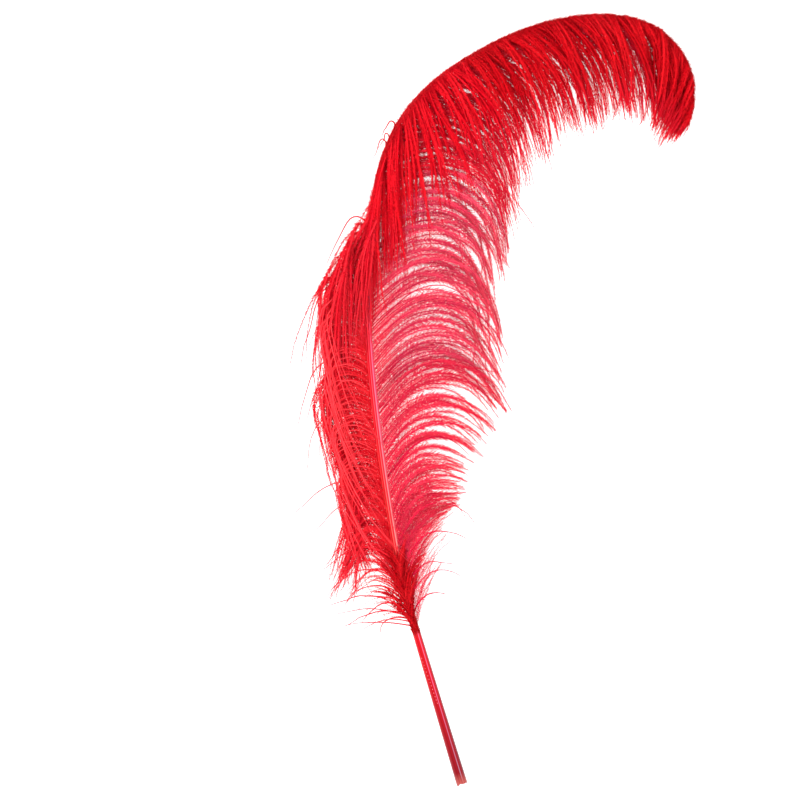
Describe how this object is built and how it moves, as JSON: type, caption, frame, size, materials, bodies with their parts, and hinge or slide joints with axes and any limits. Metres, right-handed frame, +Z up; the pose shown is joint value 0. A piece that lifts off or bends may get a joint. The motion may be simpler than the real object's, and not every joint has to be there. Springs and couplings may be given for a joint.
{
  "type": "ostrich feather",
  "caption": "Long dyed ostrich plume lying on a surface: bare quill, curved shaft, soft vanes on both sides and a crown that hooks over at the tip.",
  "frame": {"origin": "on the surface the plume lies on, under the middle of its box", "axes": "+Y from the quill's cut end towards the crown, +X towards the side the tip hooks over to, +Z up from the surface"},
  "size_m": [0.2762, 0.5516, 0.028],
  "materials": {
    "quill": "dyed horny quill, glossy, with fine lengthwise lines",
    "outer_barbs": "soft dyed down-like barbs, saturated red",
    "inner_barbs": "soft dyed barbs, thinner and pinker where light comes through",
    "crown_barbs": "dense soft dyed barbs, deep crimson"
  },
  "bodies": {
    "root": {"shaft": "quill", "outer_vane": "outer_barbs", "inner_vane": "inner_barbs", "crown_inner_vane": "inner_barbs", "crown_outer_vane": "crown_barbs", "tip_tuft": "crown_barbs"}
  },
  "joints": []
}
